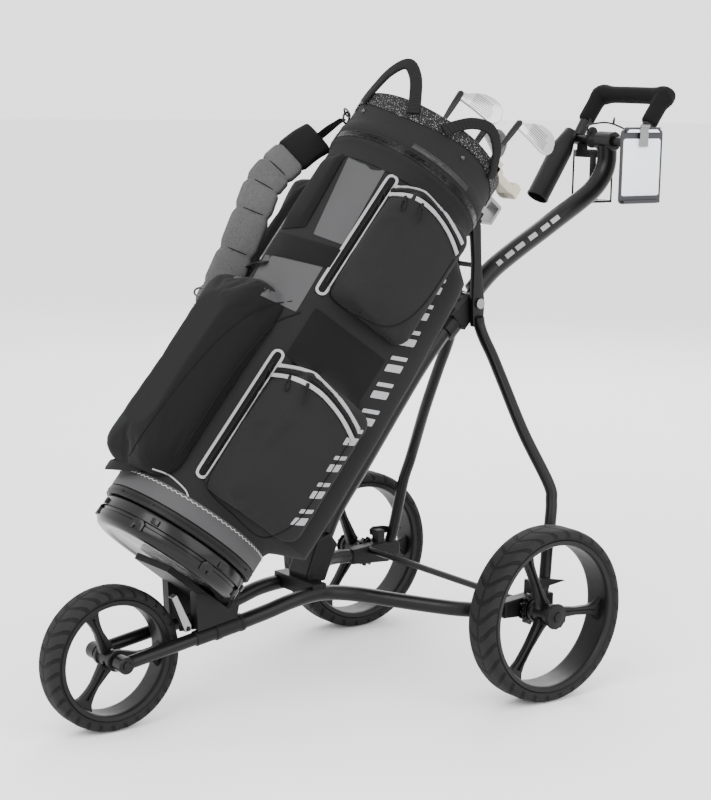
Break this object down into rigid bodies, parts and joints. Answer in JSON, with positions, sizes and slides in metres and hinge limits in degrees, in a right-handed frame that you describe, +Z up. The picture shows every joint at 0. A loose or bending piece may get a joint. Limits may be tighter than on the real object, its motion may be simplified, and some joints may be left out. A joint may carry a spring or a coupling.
{
  "type": "golf bag on a three-wheel push cart",
  "caption": "Folding push cart with foam-gripped tilting handle and spoked wheels, carrying a pocketed golf bag that lifts off and clubs that draw out.",
  "frame": {"origin": "on the floor, below the middle of the whole cart", "axes": "+Z up, -Y the way the cart is pushed, +X its left side; the handle is at +Y"},
  "size_m": [0.591, 1.21, 1.0252],
  "materials": {
    "frame_metal": "satin black powder coat",
    "moulded_plastic": "fine grained black moulding",
    "gloss_plastic": "polished black moulding",
    "rim_plastic": "black moulded wheel",
    "tread_rubber": "grooved black foam rubber tyre",
    "grip_foam": "soft black foam",
    "black_nylon": "woven black nylon",
    "charcoal_nylon": "woven charcoal nylon",
    "padded_mesh": "grey padded mesh",
    "axle_steel": "bright zinc plated",
    "club_chrome": "polished chrome",
    "putter_metal": "bead blasted pale metal",
    "fitting_metal": "silver grey satin",
    "card_board": "pale grey moulded plate"
  },
  "bodies": {
    "chassis": {"front_axle": "axle_steel", "cross_rod": "frame_metal", "strut_cross_pin": "frame_metal", "spine_foot": "moulded_plastic", "spine_tube": "frame_metal", "fold_knuckle": "moulded_plastic", "fold_bolt": "axle_steel", "cradle": "moulded_plastic", "upper_bracket": "moulded_plastic", "fork_tube_left": "frame_metal", "fork_tube_right": "frame_metal", "fork_sleeve_left": "frame_metal", "fork_sleeve_right": "frame_metal", "frame_tube_left": "frame_metal", "frame_tube_right": "frame_metal", "rear_bracket_left": "moulded_plastic", "rear_bracket_right": "moulded_plastic", "rear_axle_left": "axle_steel", "rear_axle_right": "axle_steel", "rear_hub_cap_left": "moulded_plastic", "rear_hub_cap_right": "moulded_plastic", "rear_brake_ring_left": "gloss_plastic", "rear_brake_ring_right": "gloss_plastic", "strut_left": "frame_metal", "strut_right": "frame_metal"},
    "front_wheel": {"front_tyre": "tread_rubber", "front_rim": "rim_plastic"},
    "rear_left_wheel": {"rear_left_tyre": "tread_rubber", "rear_left_rim": "rim_plastic"},
    "rear_right_wheel": {"rear_right_tyre": "tread_rubber", "rear_right_rim": "rim_plastic"},
    "brake_lever_left": {"rear_brake_lever_left": "moulded_plastic"},
    "brake_lever_right": {"rear_brake_lever_right": "moulded_plastic"},
    "handle": {"handle_tube": "frame_metal"},
    "grip": {"handle_loop": "frame_metal", "foam_grip": "grip_foam", "umbrella_holder": "moulded_plastic", "bottle_holder": "moulded_plastic", "card_plate": "card_board"},
    "tilt_knob": {"tilt_knob": "moulded_plastic"},
    "card_clip": {"card_clip": "fitting_metal"},
    "cradle_latch": {"cradle_latch": "fitting_metal"},
    "bag_buckle": {"bag_buckle": "fitting_metal"},
    "bag": {"base_tray": "gloss_plastic", "base_ring": "moulded_plastic", "bag_body": "black_nylon", "ball_pocket": "black_nylon", "collar": "gloss_plastic", "front_loop": "black_nylon", "side_loop": "black_nylon", "shoulder_strap": "padded_mesh", "lower_pocket_left": "charcoal_nylon", "lower_pocket_right": "charcoal_nylon", "upper_pocket_left": "charcoal_nylon", "upper_pocket_right": "charcoal_nylon"},
    "iron_one": {"iron_one": "club_chrome"},
    "iron_two": {"iron_two": "club_chrome"},
    "iron_three": {"iron_three": "club_chrome"},
    "putter": {"putter": "putter_metal"}
  },
  "joints": [
    {"name": "front_wheel_spin", "type": "hinge", "parent": "chassis", "child": "front_wheel", "pos_m": [0, -0.491, 0.114], "axis": [1, 0, 0], "continuous": true},
    {"name": "rear_left_wheel_spin", "type": "hinge", "parent": "chassis", "child": "rear_left_wheel", "pos_m": [0.2615, 0.176, 0.145], "axis": [1, 0, 0], "continuous": true},
    {"name": "rear_right_wheel_spin", "type": "hinge", "parent": "chassis", "child": "rear_right_wheel", "pos_m": [-0.2615, 0.176, 0.145], "axis": [1, 0, 0], "continuous": true},
    {"name": "rear_brake_lever_left_turn", "type": "hinge", "parent": "chassis", "child": "brake_lever_left", "pos_m": [0.224, 0.19, 0.182], "axis": [1, 0, 0], "range_deg": [0, 28]},
    {"name": "rear_brake_lever_right_turn", "type": "hinge", "parent": "chassis", "child": "brake_lever_right", "pos_m": [-0.224, 0.19, 0.182], "axis": [1, 0, 0], "range_deg": [0, 28]},
    {"name": "handle_fold", "type": "hinge", "parent": "chassis", "child": "handle", "pos_m": [0, 0.206, 0.63], "axis": [-1, 0, 0], "range_deg": [0, 90]},
    {"name": "handle_tilt", "type": "hinge", "parent": "handle", "child": "grip", "pos_m": [0, 0.526, 0.901], "axis": [1, 0, 0], "range_deg": [-35, 60]},
    {"name": "tilt_knob_turn", "type": "hinge", "parent": "grip", "child": "tilt_knob", "pos_m": [-0.032, 0.526, 0.901], "axis": [1, 0, 0], "range_deg": [0, 90]},
    {"name": "card_clip_lift", "type": "hinge", "parent": "grip", "child": "card_clip", "pos_m": [0.104, 0.515, 0.931], "axis": [0, -1, 0], "range_deg": [0, 30], "stiffness_Nm_per_rad": 0.02, "springref_deg": -8.59},
    {"name": "cradle_latch_open", "type": "hinge", "parent": "chassis", "child": "cradle_latch", "pos_m": [0.04, -0.377, 0.153], "axis": [1, 0, 0], "range_deg": [0, 50]},
    {"name": "bag_buckle_open", "type": "hinge", "parent": "chassis", "child": "bag_buckle", "pos_m": [0, 0.20984, 0.76821], "axis": [-1, 0, 0], "range_deg": [0, 60]},
    {"name": "bag_lift", "type": "slide", "parent": "chassis", "child": "bag", "axis": [0, -0.7811, 0.6244], "range_m": [0, 0.3]},
    {"name": "iron_one_draw", "type": "slide", "parent": "bag", "child": "iron_one", "axis": [0, 0.6244, 0.7811], "range_m": [0, 0.4]},
    {"name": "iron_two_draw", "type": "slide", "parent": "bag", "child": "iron_two", "axis": [0, 0.7031, 0.7111], "range_m": [0, 0.4]},
    {"name": "iron_three_draw", "type": "slide", "parent": "bag", "child": "iron_three", "axis": [0, 0.6657, 0.7462], "range_m": [0, 0.4]},
    {"name": "putter_draw", "type": "slide", "parent": "bag", "child": "putter", "axis": [-0.0077, 0.6542, 0.7563], "range_m": [0, 0.4]}
  ]
}
